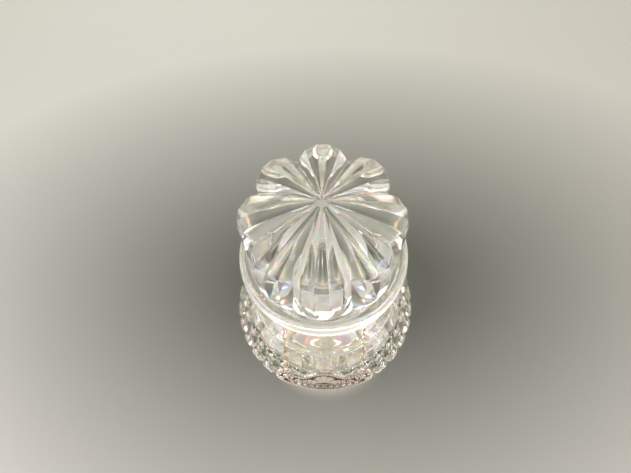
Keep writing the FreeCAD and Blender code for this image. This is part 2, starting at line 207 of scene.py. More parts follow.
class Shell:
    """A growing mesh of points and faces, welded at the end."""

    def __init__(self) -> None:
        """Starts with nothing."""
        self.points: list[Vector] = []
        self.faces: list[list[int]] = []
        self.ground: list[bool] = []

    def face(self, corners: list[Vector], ground: bool = False) -> None:
        """Adds one face.

        Args:
            corners: its corners in order.
            ground: true for a face that is ground matt.
        """
        start = len(self.points)
        self.points += corners
        self.faces.append(list(range(start, start + len(corners))))
        self.ground.append(ground)

    def strip(self, lower: list[Vector], upper: list[Vector], ground: bool = False) -> None:
        """Adds a strip of quads between two rows of the same length.

        Args:
            lower: the first row.
            upper: the second row.
            ground: true for faces that are ground matt.
        """
        for k in range(len(lower) - 1):
            self.face([lower[k], lower[k + 1], upper[k + 1], upper[k]], ground)

    def fan(self, coarse: list[Vector], fine: list[Vector]) -> None:
        """Joins a coarse row to a fine row whose gaps are a whole multiple.

        Args:
            coarse: the row with fewer points.
            fine: the row with more points.
        """
        ratio = (len(fine) - 1) // (len(coarse) - 1)
        for k in range(len(coarse) - 1):
            middle = k * ratio + ratio // 2
            for n in range(k * ratio, (k + 1) * ratio):
                self.face([coarse[k] if n < middle else coarse[k + 1], fine[n + 1], fine[n]])
            self.face([coarse[k], coarse[k + 1], fine[middle]])

    def build(self, name: str) -> bpy.types.Mesh:
        """Makes the welded mesh, with its matt faces marked.

        Args:
            name: the mesh's name.

        Returns:
            The mesh.
        """
        mesh = bpy.data.meshes.new(name)
        mesh.from_pydata([tuple(p) for p in self.points], [], self.faces)
        marks = mesh.attributes.new(GROUND_MARK, "BOOLEAN", "FACE")
        marks.data.foreach_set("value", self.ground)
        weld(mesh)
        return mesh


def weld(mesh: bpy.types.Mesh, turn_out: bool = False) -> None:
    """Merges a mesh's doubled points.

    Args:
        mesh: the mesh to change.
        turn_out: true to point every face outwards as well.
    """
    work = bmesh.new()
    work.from_mesh(mesh)
    bmesh.ops.remove_doubles(work, verts=work.verts, dist=WELD_REACH)
    if turn_out:
        bmesh.ops.recalc_face_normals(work, faces=work.faces)
    work.to_mesh(mesh)
    work.free()


def add_object(name: str, mesh: bpy.types.Mesh) -> bpy.types.Object:
    """Links a mesh into the scene.

    Args:
        name: the object's name.
        mesh: its mesh.

    Returns:
        The object.
    """
    thing = bpy.data.objects.new(name, mesh)
    bpy.context.scene.collection.objects.link(thing)
    return thing


def plain_mesh(thing: bpy.types.Object, crease_degrees: float) -> None:
    """Turns an object's modifiers into a plain closed mesh with crisp creases.

    Args:
        thing: the object to change.
        crease_degrees: edges that bend more than this stay crisp.
    """
    graph = bpy.context.evaluated_depsgraph_get()
    made = bpy.data.meshes.new_from_object(thing.evaluated_get(graph))
    thing.modifiers.clear()
    thing.data = made
    weld(made, turn_out=True)
    made.polygons.foreach_set("use_smooth", [True] * len(made.polygons))
    made.set_sharp_from_angle(angle=math.radians(crease_degrees))


def finish_piece(thing: bpy.types.Object, body: Body, nodes: list[str]) -> None:
    """Sets a piece on its body and hides the model's nodes that it stands for.

    Args:
        thing: the piece.
        body: the body that it rides on.
        nodes: the nodes that it replaces.
    """
    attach(thing, body.value)
    if nodes:
        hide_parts(*nodes)
    log.info("%s: %d faces, rides on %s", thing.name, len(thing.data.polygons), body.value)


# ---- finishes -------------------------------------------------------------------------------


@dataclass(frozen=True)
class PolishedCrystal:
    """Clear lead crystal, acid polished, that spreads white light a little into colours."""

    ior: float = 1.55
    spread: float = 0.030
    spread_share: float = 0.28
    tint: Rgb = (0.985, 0.985, 0.972)
    lamp_share: Rgb = (0.985, 0.985, 0.98)
    inner_haze: float = 0.05
    ripple: float = 0.16

    def build(self) -> bpy.types.Material:
        """Makes the material.

        Returns:
            The material.
        """
        material, bench, out = new_material("polished_crystal")
        place = bench.node("ShaderNodeTexCoord").outputs["Object"]
        waves = bench.node("ShaderNodeTexNoise", {"Vector": place, "Scale": 120.0, "Detail": 2.0})
        bump = bench.node(
            "ShaderNodeBump", {"Strength": self.ripple, "Distance": 0.2 * MM, "Height": waves.outputs["Fac"]}
        ).outputs["Normal"]
        white = (*self.tint, 1)
        whole = bench.node(
            "ShaderNodeBsdfGlass", {"Color": white, "Roughness": self.inner_haze, "IOR": self.ior, "Normal": bump}
        ).outputs[0]
        bends = []
        for channel in range(3):
            colour = tuple(self.tint[c] if c == channel else 0.0 for c in range(3))
            bends.append(
                bench.node(
                    "ShaderNodeBsdfRefraction",
                    {
                        "Color": (*colour, 1),
                        "Roughness": 0.0,
                        "IOR": self.ior + self.spread * (channel - 1),
                        "Normal": bump,
                    },
                ).outputs[0]
            )
        pair = bench.node("ShaderNodeAddShader", {0: bends[0], 1: bends[1]}).outputs[0]
        split = bench.node("ShaderNodeAddShader", {0: pair, 1: bends[2]}).outputs[0]
        straight = bench.node(
            "ShaderNodeBsdfRefraction", {"Color": white, "Roughness": 0.0, "IOR": self.ior, "Normal": bump}
        ).outputs[0]
        spread = bench.node("ShaderNodeMixShader", {"Fac": self.spread_share, 1: straight, 2: split}).outputs[0]
        shine = bench.node("ShaderNodeBsdfAnisotropic", {"Roughness": 0.0, "Normal": bump}).outputs[0]
        edge = bench.node("ShaderNodeFresnel", {"IOR": self.ior, "Normal": bump}).outputs[0]
        seen = bench.node("ShaderNodeMixShader", {"Fac": edge, 1: spread, 2: shine}).outputs[0]
        path = bench.node("ShaderNodeLightPath")
        both = bench.node(
            "ShaderNodeMixShader", {"Fac": path.outputs["Is Camera Ray"], 1: whole, 2: seen}
        ).outputs[0]
        clear = bench.node("ShaderNodeBsdfTransparent", {"Color": (*self.lamp_share, 1)}).outputs[0]
        final = bench.node("ShaderNodeMixShader", {"Fac": path.outputs["Is Shadow Ray"], 1: both, 2: clear})
        bench.tree.links.new(final.outputs[0], out.inputs["Surface"])
        return material


@dataclass(frozen=True)
class GroundCrystal:
    """The matt ground surface of the plug and its socket."""

    ior: float = 1.55
    colour: Rgb = (0.93, 0.93, 0.91)
    grain_scale: float = 2600.0
    frost: float = 0.24

    def build(self) -> bpy.types.Material:
        """Makes the material.

        Returns:
            The material.
        """
        material, bench, out = new_material("ground_crystal")
        place = bench.node("ShaderNodeTexCoord").outputs["Object"]
        grain = bench.node("ShaderNodeTexNoise", {"Vector": place, "Scale": self.grain_scale, "Detail": 3.0})
        rough = bench.node(
            "ShaderNodeMapRange", {"Value": grain.outputs["Fac"], "To Min": 0.22, "To Max": 0.42}
        ).outputs[0]
        bump = bench.node(
            "ShaderNodeBump", {"Strength": 0.3, "Distance": 0.02 * MM, "Height": grain.outputs["Fac"]}
        ).outputs["Normal"]
        glass = bench.node(
            "ShaderNodeBsdfGlass",
            {"Color": (*self.colour, 1), "Roughness": rough, "IOR": self.ior, "Normal": bump},
        ).outputs[0]
        bloom = bench.node("ShaderNodeBsdfTranslucent", {"Color": (*self.colour, 1), "Normal": bump}).outputs[0]
        frosted = bench.node("ShaderNodeMixShader", {"Fac": self.frost, 1: glass, 2: bloom}).outputs[0]
        path = bench.node("ShaderNodeLightPath")
        clear = bench.node("ShaderNodeBsdfTransparent", {"Color": (0.9, 0.9, 0.89, 1)}).outputs[0]
        final = bench.node("ShaderNodeMixShader", {"Fac": path.outputs["Is Shadow Ray"], 1: frosted, 2: clear})
        bench.tree.links.new(final.outputs[0], out.inputs["Surface"])
        return material


@dataclass(frozen=True)
class TonedSilver:
    """Polished silver that has toned darker in its hollows and carries fine scratches."""

    name: str
    bright: Rgb
    toned: Rgb
    hollow_attribute: str | None = None
    roughness: float = 0.2
    scratch_scale: float = 900.0
    cloud_scale: float = 260.0
    hollow_cloud: float = 0.35
    even_cloud: float = 1.1

    def build(self) -> bpy.types.Material:
        """Makes the material.

        Returns:
            The material.
        """
        material, bench, out = new_material(self.name)
        place = bench.node("ShaderNodeTexCoord").outputs["Object"]
        cloud = bench.node(
            "ShaderNodeTexNoise", {"Vector": place, "Scale": self.cloud_scale, "Detail": 4.0}
        ).outputs["Fac"]
        if self.hollow_attribute:
            relief = bench.node("ShaderNodeAttribute", attribute_name=self.hollow_attribute).outputs["Fac"]
            mixed = bench.node(
                "ShaderNodeMath", {0: cloud, 1: self.hollow_cloud}, operation="MULTIPLY"
            ).outputs[0]
            share = bench.node("ShaderNodeMath", {0: relief, 1: mixed}, operation="ADD").outputs[0]
        else:
            share = bench.node(
                "ShaderNodeMath", {0: cloud, 1: self.even_cloud}, operation="MULTIPLY"
            ).outputs[0]
        warm = tuple((b + t) / 2 for b, t in zip(self.bright, self.toned))
        colour = bench.ramp(share, [(0.18, self.toned), (0.42, warm), (0.72, self.bright)])
        stretch = bench.node("ShaderNodeMapping", {"Vector": place, "Scale": (1.0, 1.0, 6.0)}).outputs[0]
        lines = bench.node(
            "ShaderNodeTexNoise", {"Vector": stretch, "Scale": self.scratch_scale, "Detail": 2.0}
        ).outputs["Fac"]
        rough = bench.node(
            "ShaderNodeMapRange",
            {"Value": lines, "To Min": self.roughness * 0.7, "To Max": self.roughness * 1.6},
        ).outputs[0]
        bump = bench.node(
            "ShaderNodeBump", {"Strength": 0.25, "Distance": 0.03 * MM, "Height": lines}
        ).outputs["Normal"]
        metal = bench.node(
            "ShaderNodeBsdfPrincipled", {"Base Color": colour, "Metallic": 1.0, "Roughness": rough, "Normal": bump}
        )
        bench.tree.links.new(metal.outputs[0], out.inputs["Surface"])
        return material


@dataclass(frozen=True)
class SageCloth:
    """A grey-green cloth in its own pale colour, with painted shade in a dark soft pool round the foot and painted
    light in a pale disc under it.
    """

    pale: Rgb = (0.745, 0.755, 0.70)
    # Painted shade: the colour of the dark soft pool round the foot.
    painted_shade: Rgb = (0.120, 0.128, 0.106)
    # Painted light: the colour of the pale disc under the foot.
    painted_light: Rgb = (0.80, 0.77, 0.68)
    weave_scale: float = 1400.0
    shade_pool_place: Place = (-0.006, -0.045, 0.0)
    shade_pool_scale: Place = (0.62, 1.0, 1.0)
    shade_pool_inner: float = 0.045
    shade_pool_outer: float = 0.25
    lit_disc_place: Place = (0.0, -0.006, 0.0)
    lit_disc_outer: float = 0.052
    lit_disc_inner: float = 0.028

    def build(self) -> bpy.types.Material:
        """Makes the material.

        Returns:
            The material.
        """
        material, bench, out = new_material("sage_cloth")
        place = bench.node("ShaderNodeTexCoord").outputs["Object"]
        weave = bench.node(
            "ShaderNodeTexNoise", {"Vector": place, "Scale": self.weave_scale, "Detail": 2.0}
        ).outputs["Fac"]
        # Painted shade: the colour darkens from the pale cloth to a dark soft pool round the foot.
        pool = bench.node(
            "ShaderNodeMapping", {"Vector": place, "Location": self.shade_pool_place, "Scale": self.shade_pool_scale}
        ).outputs[0]
        reach = bench.node("ShaderNodeVectorMath", {0: pool}, operation="LENGTH").outputs["Value"]
        share = bench.node(
            "ShaderNodeMapRange", {"Value": reach, "From Min": self.shade_pool_inner, "From Max": self.shade_pool_outer}
        ).outputs[0]
        around = bench.ramp(share, [(0.0, self.painted_shade), (1.0, self.pale)])
        # Painted light: a pale disc, lighter than the cloth, painted under the foot.
        foot = bench.node("ShaderNodeMapping", {"Vector": place, "Location": self.lit_disc_place}).outputs[0]
        middle = bench.node("ShaderNodeVectorMath", {0: foot}, operation="LENGTH").outputs["Value"]
        lit_disc_share = bench.node(
            "ShaderNodeMapRange",
            {"Value": middle, "From Min": self.lit_disc_outer, "From Max": self.lit_disc_inner},
            interpolation_type="SMOOTHSTEP",
        ).outputs[0]
        colour = bench.node(
            "ShaderNodeMix", {"Factor": lit_disc_share, "A": around, "B": (*self.painted_light, 1)}, data_type="RGBA"
        ).outputs["Result"]
        bump = bench.node("ShaderNodeBump", {"Strength": 0.1, "Distance": 0.1 * MM, "Height": weave}).outputs[0]
        skin = bench.node("ShaderNodeBsdfPrincipled", {"Base Color": colour, "Roughness": 0.85, "Normal": bump})
        bench.tree.links.new(skin.outputs[0], out.inputs["Surface"])
        return material


# ---- geometry node trees --------------------------------------------------------------------


def open_tree(
    name: str, sockets: list[tuple[str, str]]
) -> tuple[Bench, bpy.types.Node, dict[str, str]]:
    """Starts a geometry node tree with a geometry in and out.

    Args:
        name: the tree's name.
        sockets: (name, socket type) of each further input.

    Returns:
        A bench on the tree, its input node, and input name to socket identifier.
    """
    tree = bpy.data.node_groups.new(name, "GeometryNodeTree")
    face = tree.interface
    face.new_socket("Geometry", in_out="OUTPUT", socket_type="NodeSocketGeometry")
    face.new_socket("Geometry", in_out="INPUT", socket_type="NodeSocketGeometry")
    keys = {
        label: face.new_socket(label, in_out="INPUT", socket_type=kind).identifier for label, kind in sockets
    }
    bench = Bench(tree)
    return bench, bench.node("NodeGroupInput"), keys


def dress_tree(bench: Bench, geometry: bpy.types.NodeSocket, source: bpy.types.Node) -> None:
    """Ends a tree: real faces, the main material, and the matt one where faces are marked.

    Args:
        bench: the tree's bench.
        geometry: the instances to realise.
        source: the tree's input node, with Finish and Matt Finish sockets.
    """
    real = bench.node("GeometryNodeRealizeInstances", {"Geometry": geometry}).outputs[0]
    main = bench.node(
        "GeometryNodeSetMaterial", {"Geometry": real, "Material": source.outputs["Finish"]}
    ).outputs[0]
    marks = bench.node(
        "GeometryNodeInputNamedAttribute", {"Name": GROUND_MARK}, data_type="BOOLEAN"
    ).outputs[0]
    matt = bench.node(
        "GeometryNodeSetMaterial",
        {"Geometry": main, "Selection": marks, "Material": source.outputs["Matt Finish"]},
    ).outputs[0]
    bench.node("NodeGroupOutput", {"Geometry": matt})


def round_pattern() -> tuple[bpy.types.NodeTree, dict[str, str]]:
    """A tree that repeats one sector of cut glass round the Z axis.

    Returns:
        The tree and its input identifiers.
    """
    bench, source, keys = open_tree(
        "round_pattern",
        [("Sectors", "NodeSocketInt"), ("Finish", "NodeSocketMaterial"), ("Matt Finish", "NodeSocketMaterial")],
    )
    points = bench.node("GeometryNodePoints", {"Count": source.outputs["Sectors"]}).outputs[0]
    index = bench.node("GeometryNodeInputIndex").outputs[0]
    step = bench.node(
        "ShaderNodeMath", {0: math.tau, 1: source.outputs["Sectors"]}, operation="DIVIDE"
    ).outputs[0]
    turn = bench.node("ShaderNodeMath", {0: index, 1: step}, operation="MULTIPLY").outputs[0]
    euler = bench.node("ShaderNodeCombineXYZ", {"Z": turn}).outputs[0]
    rotation = bench.node("FunctionNodeEulerToRotation", {0: euler}).outputs[0]
    copies = bench.node(
        "GeometryNodeInstanceOnPoints",
        {"Points": points, "Instance": source.outputs["Geometry"], "Rotation": rotation},
    ).outputs[0]
    dress_tree(bench, copies, source)
    return bench.tree, keys


def strung_links() -> tuple[bpy.types.NodeTree, dict[str, str]]:
    """A tree that sets one wire link on each point, turned as the point's attribute says.

    Returns:
        The tree and its input identifiers.
    """
    bench, source, keys = open_tree(
        "strung_links",
        [("Link", "NodeSocketObject"), ("Finish", "NodeSocketMaterial"), ("Matt Finish", "NodeSocketMaterial")],
    )
    link = bench.node("GeometryNodeObjectInfo", {"Object": source.outputs["Link"]}).outputs["Geometry"]
    turn = bench.node(
        "GeometryNodeInputNamedAttribute", {"Name": TURN_MARK}, data_type="QUATERNION"
    ).outputs[0]
    points = bench.node("GeometryNodeMeshToPoints", {"Mesh": source.outputs["Geometry"]}).outputs[0]
    copies = bench.node(
        "GeometryNodeInstanceOnPoints", {"Points": points, "Instance": link, "Rotation": turn}
    ).outputs[0]
    dress_tree(bench, copies, source)
    return bench.tree, keys


def run_tree(
    thing: bpy.types.Object, made: tuple[bpy.types.NodeTree, dict[str, str]], values: dict
) -> None:
    """Puts a node tree on an object.

    Args:
        thing: the object.
        made: the tree and its input identifiers.
        values: input name to value.
    """
    tree, keys = made
    modifier = thing.modifiers.new(tree.name, "NODES")
    modifier.node_group = tree
    for name, value in values.items():
        modifier[keys[name]] = value


# ---- the stopper ----------------------------------------------------------------------------


@dataclass
class CutStopper:
    """The eight-lobed head, cut with deep V grooves that meet at its hub, on a ground plug.

    Its flats are slightly hollow, where the model's are flat.
    """

    finish: bpy.types.Material
    matt: bpy.types.Material
    pattern: tuple[bpy.types.NodeTree, dict[str, str]]
    top: float = 220.5
    lip_top: float = 181.0
    lift: float = 0.3
    lobes: int = 8
    flats: int = 5
    arc_half_angle: float = 72.0
    arc_radius: float = 0.333
    arc_middle: float = 0.667
    flute: float = 0.03
    crease: float = 16.0
    plug_end: float = 152.0
    plug_end_radius: float = 11.04
    shank_radius: float = 13.1
    chamfer: float = 0.8
    steps: int = 5

    def outline(self) -> list[tuple[float, float]]:
        """The corners of one lobe.

        Returns:
            (degrees, share of the groove's depth) pairs.
        """
        corners = []
        for k in range(self.flats + 1):
            swing = math.radians(self.arc_half_angle * (2 * k / self.flats - 1))
            x, y = self.arc_middle + self.arc_radius * math.cos(swing), self.arc_radius * math.sin(swing)
            corners.append((math.degrees(math.atan2(y, x)), 1 - math.hypot(x, y)))
        widest, deepest = corners[-1][0], corners[0][1]
        corners = [(d * 180 / self.lobes / widest, depth / deepest) for d, depth in corners]
        fluted = corners[:1]
        for (d0, s0), (d1, s1) in zip(corners, corners[1:]):
            for share in (1 / 3, 2 / 3):
                fluted.append((d0 + (d1 - d0) * share, s0 + (s1 - s0) * share + self.flute))
            fluted.append((d1, s1))
        return fluted

    def stations(self) -> list[tuple[float, ...]]:
        """The head's profile.

        Returns:
            (ridge radius, height, groove depth, groove direction) rows, in mm and degrees.
        """
        bottom = self.lip_top + self.lift
        return [
            (2.4, self.top, 0.0, 90),
            (4.2, self.top - 0.2, 1.1, 88),
            (8.0, self.top - 0.7, 2.2, 86),
            (13.0, self.top - 1.6, 3.2, 82),
            (18.0, self.top - 2.8, 4.0, 77),
            (23.0, self.top - 4.4, 4.6, 68),
            (27.2, self.top - 6.8, 5.0, 52),
            (29.9, self.top - 9.8, 5.1, 32),
            (31.0, self.top - 13.6, 5.1, 10),
            (31.3, self.top - 19.5, 4.7, 0),
            (31.4, self.top - 26.5, 3.8, 0),
            (31.4, self.top - 32.5, 2.8, 0),
            (31.2, bottom + 3.4, 1.9, 0),
            (30.9, bottom + 1.6, 1.5, 0),
            (30.0, bottom, 1.2, 0),
        ]

    def lobe(self) -> bpy.types.Mesh:
        """Cuts one lobe and its share of the plug.

        Returns:
            The open sector's mesh.
        """
        shell, outline = Shell(), self.outline()
        rows = []
        for radius, height, depth, rise in smooth_rows(self.stations(), self.steps):
            inward, down = math.cos(math.radians(rise)), math.sin(math.radians(rise))
            rows.append([polar(radius - depth * s * inward, d, height - depth * s * down) for d, s in outline])
        for upper, lower in zip(rows, rows[1:]):
            shell.strip(lower, upper)
        hub = polar(0, 0, self.top)
        for a, b in zip(rows[0], rows[0][1:]):
            shell.face([a, b, hub])
        bottom = self.lip_top + self.lift
        end_ring = self.plug_end_radius - self.chamfer
        plug = [
            (self.shank_radius, bottom, False),
            (self.shank_radius, self.lip_top, False),
            (self.plug_end_radius, self.plug_end + self.chamfer, True),
            (end_ring, self.plug_end, False),
        ]
        turned = [[polar(r, d, z) for d, _ in outline] for r, z, _ in plug]
        shell.strip(turned[0], rows[-1])
        for k in range(1, len(plug)):
            shell.strip(turned[k], turned[k - 1], plug[k][2])
        foot = polar(0, 0, self.plug_end)
        for a, b in zip(turned[-1], turned[-1][1:]):
            shell.face([b, a, foot])
        return shell.build("stopper_lobe")

    def build(self) -> bpy.types.Object:
        """Makes the stopper.

        Returns:
            The finished piece.
        """
        thing = add_object("cut_stopper", self.lobe())
        run_tree(thing, self.pattern, {"Sectors": self.lobes, "Finish": self.finish, "Matt Finish": self.matt})
        plain_mesh(thing, self.crease)
        finish_piece(thing, Body.STOPPER, ["stopper"])
        return thing


# ---- the bottle -----------------------------------------------------------------------------


@dataclass
class CutBottle:
    """The hollow bottle: star-cut foot, rows of cut blocks, smooth shoulder, neck and wide lip."""

    finish: bpy.types.Material
    matt: bpy.types.Material
    pattern: tuple[bpy.types.NodeTree, dict[str, str]]
    sectors: int = 16
    fine: int = 8
    block_groove: float = 1.9
    block_bevel: float = 2.0
    panel_bevel: float = 3.6
    foot_radius: float = 34.0
    star_inner: float = 4.0
    star_outer: float = 28.0
    star_depth: float = 1.6
    star_half_width: float = 2.6
    lip_top: float = 181.0
    bore: float = 11.0
    socket_top: float = 13.2
    socket_bottom: float = 150.0
    floor_height: float = 13.0
    wide_rows: tuple[int, ...] = (0, 4)
    crease: float = 14.0

    @property
    def half(self) -> float:
        """Half of one sector's angle, in degrees."""
        return 180.0 / self.sectors

    def wall(self) -> Profile:
        """The block faces' outline, as (height, radius) pairs in mm."""
        return [(0.0, self.foot_radius), (4.0, 36.6), (58.0, 42.4), (104.0, 48.4), (130.0, 36.0)]

    def levels(self) -> list[float]:
        """The heights of the grooves that run round the body, from the foot up."""
        return [4.0, 58.0, 81.0, 104.0, 117.0, 130.0]

    def radius_at(self, height: float) -> float:
        """Outside radius of the block faces.

        Args:
            height: height above the foot, mm.

        Returns:
            The radius, mm.
        """
        for (z0, r0), (z1, r1) in zip(self.wall(), self.wall()[1:]):
            if height <= z1:
                return r0 + (r1 - r0) * (height - z0) / (z1 - z0)
        return self.wall()[-1][1]

    def slope(self, low: float, high: float) -> tuple[float, float]:
        """The unit direction up a row of blocks.

        Args:
            low: the row's lower groove.
            high: the row's upper groove.

        Returns:
            The direction as (outward, up).
        """
        run, rise = self.radius_at(high) - self.radius_at(low), high - low
        length = math.hypot(run, rise)
        return run / length, rise / length

    def groove(self, index: int, angles: list[float]) -> list[Vector]:
        """The bottom line of a groove that runs round the body.

        Args:
            index: which of the levels.
            angles: the directions to give points at.

        Returns:
            The points.
        """
        levels = self.levels()
        nearby = levels[max(0, index - 1):index + 2]
        slopes = [self.slope(a, b) for a, b in zip(nearby, nearby[1:])]
        normal = Vector((sum(s[1] for s in slopes), -sum(s[0] for s in slopes))).normalized()
        height = levels[index]
        radius = self.radius_at(height) - self.block_groove * normal.x
        return [polar(radius, a, height - self.block_groove * normal.y) for a in angles]

    def block(
        self, shell: Shell, low: list[Vector], high: list[Vector], row: int, middle: float, half: float
    ) -> None:
        """Cuts one block: its flat face and the four bevels down to its grooves.

        Args:
            shell: the mesh to add to.
            low: the groove points below it.
            high: the groove points above it.
            row: which row of blocks.
            middle: the direction of its middle.
            half: half of its width in degrees.
        """
        levels = self.levels()
        bevel = self.panel_bevel if len(low) > 2 else self.block_bevel
        along = self.slope(levels[row], levels[row + 1])
        corners = []
        for start, step in ((levels[row], 1), (levels[row + 1], -1)):
            radius = self.radius_at(start) + step * bevel * along[0]
            inset = math.degrees(bevel / radius)
            flat = radius * math.cos(math.radians(half)) / math.cos(math.radians(half - inset))
            corners.append(
                [polar(flat, middle + side * (half - inset), start + step * bevel * along[1]) for side in (-1, 1)]
            )
        (a, b), (d, c) = corners
        shell.face([a, b, c, d])
        shell.face([low[0], a, d, high[0]])
        shell.face([b, low[-1], high[-1], c])
        shell.face([*low, b, a])
        shell.face([d, c, *reversed(high)])

    def foot(self, shell: Shell) -> None:
        """Cuts the underside with its half of the star's rays, and the chamfer above it.

        Args:
            shell: the mesh to add to.
        """
        h = self.half
        lean = math.degrees(self.star_half_width / self.star_outer)
        edge = [polar(self.foot_radius - self.block_groove, a, 0) for a in (-h, 0, h)]
        ring = self.groove(0, [-h, 0, h])
        shell.strip(edge, ring)
        centre, rays = polar(0, 0, 0), []
        for side in (-1, 1):
            tip, end = polar(self.star_inner, side * h, 0), polar(self.star_outer, side * h, 0)
            crest = polar(self.star_outer - 3, side * h, self.star_depth)
            corner = polar(self.star_outer, side * (h - lean), 0)
            shell.face([tip, corner, crest])
            shell.face([corner, end, crest])
            rays.append((tip, corner, end))
        left, right = rays
        middle = (left[1] + right[1]) / 2
        shell.face([centre, left[0], middle])
        shell.face([left[0], left[1], middle])
        shell.face([centre, middle, right[0]])
        shell.face([right[0], middle, right[1]])
        shell.face([left[1], left[2], edge[0], edge[1], middle])
        shell.face([right[1], middle, edge[1], edge[2], right[2]])

    def smooth_outside(self) -> Profile:
        """The turned outline from the shoulder's ring to the edge of the socket.

        Returns:
            (radius, height) pairs in mm.
        """
        shoulder = [(35.4, 129.6), (32.2, 134.4), (27.0, 139.8), (21.6, 144.6), (18.6, 147.6), (17.5, 150.5)]
        flare = [(17.5, 159.0), (17.8, 161.6), (19.4, 165.0), (22.6, 167.8), (27.0, 169.8), (31.4, 171.0)]
        rim = [(34.4, 172.6), (35.3, 175.0), (34.6, 177.8), (33.1, 180.0), (31.0, self.lip_top)]
        outline = smooth_rows(shoulder, 5) + smooth_rows(flare + rim, 5)
        return outline + [(self.socket_top + 0.5, self.lip_top), (self.socket_top, self.lip_top - 0.4)]

    def smooth_inside(self) -> Profile:
        """The outline of the hollow from under the socket to the middle of its floor.

        Returns:
            (radius, height) pairs in mm.
        """
        wall = [
            (self.bore, 148.0),
            (11.3, 145.4),
            (13.2, 142.6),
            (17.4, 138.4),
            (24.4, 131.6),
            (31.6, 123.6),
            (37.4, 114.5),
            (40.2, 104.0),
            (39.4, 90.0),
            (36.2, 62.0),
            (33.2, 38.0),
            (31.4, 25.0),
            (27.5, 17.6),
            (20.0, 14.2),
            (10.0, 13.1),
        ]
        return [(self.bore, self.socket_bottom)] + smooth_rows(wall, 4)

    def sector(self) -> bpy.types.Mesh:
        """Cuts one sector from foot to lip and back down inside.

        Returns:
            The open sector's mesh.
        """
        shell, h = Shell(), self.half
        self.foot(shell)
        for row in range(len(self.levels()) - 1):
            if row in self.wide_rows:
                angles = [-h, 0, h]
                self.block(shell, self.groove(row, angles), self.groove(row + 1, angles), row, 0.0, h)
                continue
            for middle in (-h / 2, h / 2):
                angles = [middle - h / 2, middle + h / 2]
                self.block(shell, self.groove(row, angles), self.groove(row + 1, angles), row, middle, h / 2)
        angles = [-h + 2 * h * k / self.fine for k in range(self.fine + 1)]
        outside = [[polar(r, a, z) for a in angles] for r, z in self.smooth_outside()]
        shell.fan(self.groove(len(self.levels()) - 1, [-h, 0, h]), outside[0])
        for lower, upper in zip(outside, outside[1:]):
            shell.strip(lower, upper)
        inside = [[polar(r, a, z) for a in angles] for r, z in self.smooth_inside()]
        shell.strip(outside[-1], inside[0], ground=True)
        for upper, lower in zip(inside, inside[1:]):
            shell.strip(upper, lower)
        floor = polar(0, 0, self.floor_height)
        for a, b in zip(inside[-1], inside[-1][1:]):
            shell.face([a, b, floor])
        return shell.build("bottle_sector")

    def build(self) -> bpy.types.Object:
        """Makes the bottle.

        Returns:
            The finished piece.
        """
        thing = add_object("cut_bottle", self.sector())
        run_tree(thing, self.pattern, {"Sectors": self.sectors, "Finish": self.finish, "Matt Finish": self.matt})
        plain_mesh(thing, self.crease)
        finish_piece(thing, Body.BOTTLE, ["bottle"])
        return thing


# ---- the chain ------------------------------------------------------------------------------


